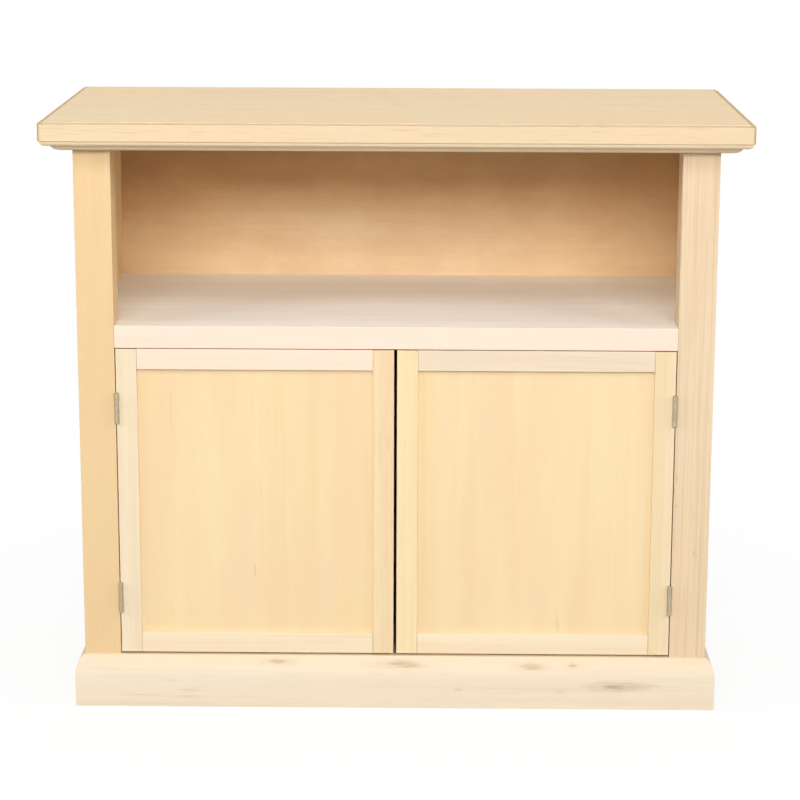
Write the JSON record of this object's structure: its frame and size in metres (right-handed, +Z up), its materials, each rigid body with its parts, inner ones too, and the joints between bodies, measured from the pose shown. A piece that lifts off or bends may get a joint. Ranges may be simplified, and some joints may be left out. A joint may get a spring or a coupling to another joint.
{
  "type": "tv cabinet",
  "caption": "Raw pale wood TV cabinet: moulded overhanging top, open niche with plywood back, middle shelf, inset frame-and-panel doors on butt hinges, rounded plinth.",
  "frame": {"origin": "on the floor, under the middle of the top board", "axes": "+X to the right of someone facing the doors, +Y from front to back, +Z up"},
  "size_m": [0.9, 0.428, 0.78],
  "materials": {
    "raw_wood": "planed, unfinished",
    "panel_wood": "sanded, unfinished",
    "plywood": "reddish veneer, unfinished",
    "beech_dowel": "fluted dowel rod",
    "hinge_steel": "dull zinc plated",
    "zinc_steel": "zinc plated",
    "catch_steel": "nickel plated",
    "catch_plastic": "moulded"
  },
  "bodies": {
    "carcass": {"back_nails": "zinc_steel", "back_panel": "plywood", "base_rail": "raw_wood", "catch_block": "raw_wood", "catch_housing_left": "catch_plastic", "catch_housing_right": "catch_plastic", "catch_magnet_left": "catch_steel", "catch_magnet_right": "catch_steel", "catch_screws": "zinc_steel", "cleat_floor_left": "raw_wood", "cleat_floor_right": "raw_wood", "cleat_screws": "zinc_steel", "cleat_shelf_left": "raw_wood", "cleat_shelf_right": "raw_wood", "cleat_top_left": "raw_wood", "cleat_top_right": "raw_wood", "floor_board": "raw_wood", "hinge_left_lower_frame_leaf": "hinge_steel", "hinge_left_upper_frame_leaf": "hinge_steel", "hinge_pins": "hinge_steel", "hinge_right_lower_frame_leaf": "hinge_steel", "hinge_right_upper_frame_leaf": "hinge_steel", "hinge_screws_frame": "zinc_steel", "plinth_front": "raw_wood", "plinth_left": "raw_wood", "plinth_right": "raw_wood", "post_left": "raw_wood", "post_right": "raw_wood", "rail_dowels": "beech_dowel", "shelf_board": "raw_wood", "shelf_rail": "raw_wood", "side_left": "raw_wood", "side_right": "raw_wood", "top_board": "raw_wood", "top_moulding_front": "raw_wood", "top_moulding_left": "raw_wood", "top_moulding_right": "raw_wood", "top_screws": "zinc_steel"},
    "left_door": {"hinge_left_lower_door_leaf": "hinge_steel", "hinge_left_upper_door_leaf": "hinge_steel", "hinge_screws_left_door": "zinc_steel", "left_door_bottom_rail": "raw_wood", "left_door_hinge_stile": "raw_wood", "left_door_lock_stile": "raw_wood", "left_door_panel": "panel_wood", "left_door_top_rail": "raw_wood", "strike_plate_left": "catch_steel", "strike_screw_left": "zinc_steel"},
    "right_door": {"hinge_right_lower_door_leaf": "hinge_steel", "hinge_right_upper_door_leaf": "hinge_steel", "hinge_screws_right_door": "zinc_steel", "right_door_bottom_rail": "raw_wood", "right_door_hinge_stile": "raw_wood", "right_door_lock_stile": "raw_wood", "right_door_panel": "panel_wood", "right_door_top_rail": "raw_wood", "strike_plate_right": "catch_steel", "strike_screw_right": "zinc_steel"}
  },
  "joints": [
    {"name": "left_door_hinge", "type": "hinge", "parent": "carcass", "child": "left_door", "pos_m": [-0.3617, -0.1784, 0.277], "axis": [0, 0, -1], "range_deg": [0, 170]},
    {"name": "right_door_hinge", "type": "hinge", "parent": "carcass", "child": "right_door", "pos_m": [0.3617, -0.1784, 0.277], "axis": [0, 0, 1], "range_deg": [0, 170]}
  ]
}
